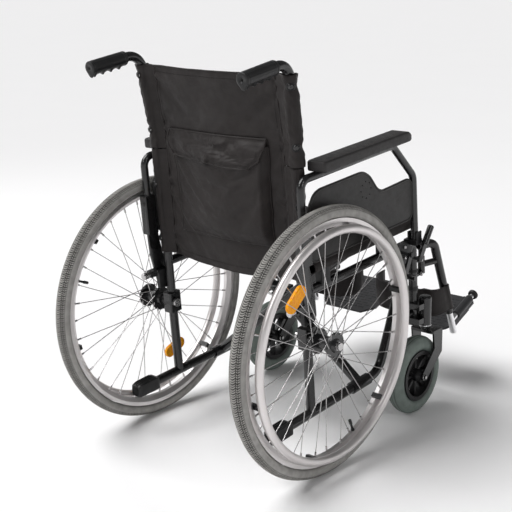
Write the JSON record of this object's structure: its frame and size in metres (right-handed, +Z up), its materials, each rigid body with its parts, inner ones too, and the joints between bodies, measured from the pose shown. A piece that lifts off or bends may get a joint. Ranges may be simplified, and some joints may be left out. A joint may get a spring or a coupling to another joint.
{
  "type": "manual wheelchair",
  "caption": "Folding self-propelled wheelchair with sling seat and back, flip-up armrests and swing-away footrests.",
  "frame": {"origin": "on the floor, under the middle of the chair's length and width", "axes": "+Z up, -Y forward (the way the sitter faces), +X to the sitter's left"},
  "size_m": [0.623, 1.0293, 0.9188],
  "materials": {
    "frame_black": "gloss powder coat",
    "grip_rubber": "matt",
    "black_plastic": "satin",
    "fastener_steel": "zinc plated",
    "rear_tyre": "matt grey",
    "rim_aluminium": "satin anodised",
    "spoke_steel": "bright",
    "hub_black": "satin black",
    "handrim_aluminium": "satin anodised",
    "reflector_amber": "prismatic",
    "castor_tyre": "matt grey-green",
    "pad_urethane": "grained self-skinned foam",
    "panel_plastic": "grained",
    "chrome": "polished",
    "footplate_plastic": "grained",
    "nylon_black": "coated woven nylon"
  },
  "bodies": {
    "left_frame": {"left_side_frame": "frame_black", "left_push_grip": "grip_rubber", "left_axle_bracket": "frame_black", "left_frame_fittings": "black_plastic", "left_frame_fasteners": "fastener_steel", "left_castor_housing": "frame_black", "left_rear_axle": "fastener_steel", "back_upholstery": "nylon_black"},
    "left_wheel": {"left_rear_tyre": "rear_tyre", "left_rear_rim": "rim_aluminium", "left_rear_spokes": "spoke_steel", "left_rear_hub": "hub_black", "left_handrim": "handrim_aluminium", "left_handrim_standoffs": "black_plastic", "left_reflector": "reflector_amber"},
    "left_castor_fork": {"left_castor_fork": "frame_black"},
    "left_castor_wheel": {"left_castor_tyre": "castor_tyre", "left_castor_wheel": "black_plastic"},
    "left_brake_lever": {"left_brake_lever": "frame_black"},
    "left_brake_shoe": {"left_brake_shoe": "frame_black"},
    "left_armrest": {"left_armrest_frame": "frame_black", "left_armrest_pad": "pad_urethane", "left_side_panel": "panel_plastic"},
    "left_armrest_latch": {"left_armrest_latch": "fastener_steel"},
    "left_hanger": {"left_hanger": "frame_black"},
    "left_footrest": {"left_footrest_tube": "chrome", "left_heel_loop": "nylon_black"},
    "left_footplate": {"left_footplate": "footplate_plastic"},
    "right_frame": {"right_side_frame": "frame_black", "right_push_grip": "grip_rubber", "right_axle_bracket": "frame_black", "right_frame_fittings": "black_plastic", "right_frame_fasteners": "fastener_steel", "right_castor_housing": "frame_black", "right_rear_axle": "fastener_steel"},
    "right_wheel": {"right_rear_tyre": "rear_tyre", "right_rear_rim": "rim_aluminium", "right_rear_spokes": "spoke_steel", "right_rear_hub": "hub_black", "right_handrim": "handrim_aluminium", "right_handrim_standoffs": "black_plastic", "right_reflector": "reflector_amber"},
    "right_castor_fork": {"right_castor_fork": "frame_black"},
    "right_castor_wheel": {"right_castor_tyre": "castor_tyre", "right_castor_wheel": "black_plastic"},
    "right_brake_lever": {"right_brake_lever": "frame_black"},
    "right_brake_shoe": {"right_brake_shoe": "frame_black"},
    "right_armrest": {"right_armrest_frame": "frame_black", "right_armrest_pad": "pad_urethane", "right_side_panel": "panel_plastic"},
    "right_armrest_latch": {"right_armrest_latch": "fastener_steel"},
    "right_hanger": {"right_hanger": "frame_black"},
    "right_footrest": {"right_footrest_tube": "chrome", "right_heel_loop": "nylon_black"},
    "right_footplate": {"right_footplate": "footplate_plastic"},
    "cross_a": {"cross_tube_a": "frame_black", "cross_bolt": "fastener_steel", "seat_upholstery": "nylon_black"},
    "cross_b": {"cross_tube_b": "frame_black"}
  },
  "joints": [
    {"name": "fold", "type": "hinge", "parent": "left_frame", "child": "cross_a", "pos_m": [0.213, 0.02117, 0.13165], "axis": [0, 0.9972, -0.075], "range_deg": [0, 33.6], "deforming": ["seat_upholstery", "back_upholstery"]},
    {"name": "fold_cross_b", "type": "hinge", "parent": "cross_a", "child": "cross_b", "pos_m": [0, 0.03388, 0.30067], "axis": [0, 0.9972, -0.075], "range_deg": [-67.3, 0]},
    {"name": "fold_right_frame", "type": "hinge", "parent": "cross_b", "child": "right_frame", "pos_m": [-0.213, 0.02117, 0.13165], "axis": [0, 0.9972, -0.075], "range_deg": [0, 33.7]},
    {"name": "left_wheel_spin", "type": "hinge", "parent": "left_frame", "child": "left_wheel", "pos_m": [0.272, 0.2097, 0.305], "axis": [1, 0, 0], "continuous": true},
    {"name": "left_castor_swivel", "type": "hinge", "parent": "left_frame", "child": "left_castor_fork", "pos_m": [0.2336, -0.23983, 0.218], "axis": [0, 0, 1], "continuous": true},
    {"name": "left_castor_spin", "type": "hinge", "parent": "left_castor_fork", "child": "left_castor_wheel", "pos_m": [0.2336, -0.19283, 0.1], "axis": [1, 0, 0], "continuous": true},
    {"name": "left_brake_lever", "type": "hinge", "parent": "left_frame", "child": "left_brake_lever", "pos_m": [0.258, -0.16745, 0.41058], "axis": [1, 0, 0], "range_deg": [0, 38]},
    {"name": "left_brake_shoe", "type": "hinge", "parent": "left_frame", "child": "left_brake_shoe", "pos_m": [0.258, -0.13197, 0.42897], "axis": [1, 0, 0], "range_deg": [0, 24.8]},
    {"name": "left_armrest_flip", "type": "hinge", "parent": "left_frame", "child": "left_armrest", "pos_m": [0.238, 0.21682, 0.35962], "axis": [-1, 0, 0], "range_deg": [0, 95]},
    {"name": "left_armrest_latch", "type": "slide", "parent": "left_armrest", "child": "left_armrest_latch", "axis": [0, 0.9972, -0.075], "range_m": [0, 0.008], "stiffness_N_per_m": 800},
    {"name": "left_hanger_swing", "type": "hinge", "parent": "left_frame", "child": "left_hanger", "pos_m": [0.213, -0.24925, 0.36959], "axis": [0, 0.075, 0.9972], "range_deg": [0, 90]},
    {"name": "left_footrest_height", "type": "slide", "parent": "left_hanger", "child": "left_footrest", "axis": [0, -0.3795, -0.9252], "range_m": [-0.012, 0.06]},
    {"name": "left_footplate_flip", "type": "hinge", "parent": "left_footrest", "child": "left_footplate", "pos_m": [0.23, -0.37187, 0.19429], "axis": [0, 0.9252, -0.3795], "range_deg": [0, 93], "deforming": ["left_heel_loop"]},
    {"name": "right_wheel_spin", "type": "hinge", "parent": "right_frame", "child": "right_wheel", "pos_m": [-0.272, 0.2097, 0.305], "axis": [1, 0, 0], "continuous": true},
    {"name": "right_castor_swivel", "type": "hinge", "parent": "right_frame", "child": "right_castor_fork", "pos_m": [-0.2336, -0.23983, 0.218], "axis": [0, 0, 1], "continuous": true},
    {"name": "right_castor_spin", "type": "hinge", "parent": "right_castor_fork", "child": "right_castor_wheel", "pos_m": [-0.2336, -0.19283, 0.1], "axis": [1, 0, 0], "continuous": true},
    {"name": "right_brake_lever", "type": "hinge", "parent": "right_frame", "child": "right_brake_lever", "pos_m": [-0.258, -0.16745, 0.41058], "axis": [1, 0, 0], "range_deg": [0, 38]},
    {"name": "right_brake_shoe", "type": "hinge", "parent": "right_frame", "child": "right_brake_shoe", "pos_m": [-0.258, -0.13197, 0.42897], "axis": [1, 0, 0], "range_deg": [0, 24.8]},
    {"name": "right_armrest_flip", "type": "hinge", "parent": "right_frame", "child": "right_armrest", "pos_m": [-0.238, 0.21682, 0.35962], "axis": [-1, 0, 0], "range_deg": [0, 95]},
    {"name": "right_armrest_latch", "type": "slide", "parent": "right_armrest", "child": "right_armrest_latch", "axis": [0, 0.9972, -0.075], "range_m": [0, 0.008], "stiffness_N_per_m": 800},
    {"name": "right_hanger_swing", "type": "hinge", "parent": "right_frame", "child": "right_hanger", "pos_m": [-0.213, -0.24925, 0.36959], "axis": [0, -0.075, -0.9972], "range_deg": [0, 90]},
    {"name": "right_footrest_height", "type": "slide", "parent": "right_hanger", "child": "right_footrest", "axis": [0, -0.3795, -0.9252], "range_m": [-0.012, 0.06]},
    {"name": "right_footplate_flip", "type": "hinge", "parent": "right_footrest", "child": "right_footplate", "pos_m": [-0.23, -0.37187, 0.19429], "axis": [0, -0.9252, 0.3795], "range_deg": [0, 93], "deforming": ["right_heel_loop"]}
  ],
  "couplings": [
    {"joint": "fold_cross_b", "follows": "fold", "ratio": -2},
    {"joint": "fold_right_frame", "follows": "fold", "ratio": 1},
    {"joint": "left_brake_shoe", "follows": "left_brake_lever", "ratio": 0.65},
    {"joint": "left_footplate_flip", "follows": "fold", "ratio": 2.75},
    {"joint": "right_brake_shoe", "follows": "right_brake_lever", "ratio": 0.65},
    {"joint": "right_footplate_flip", "follows": "fold", "ratio": 2.75}
  ]
}
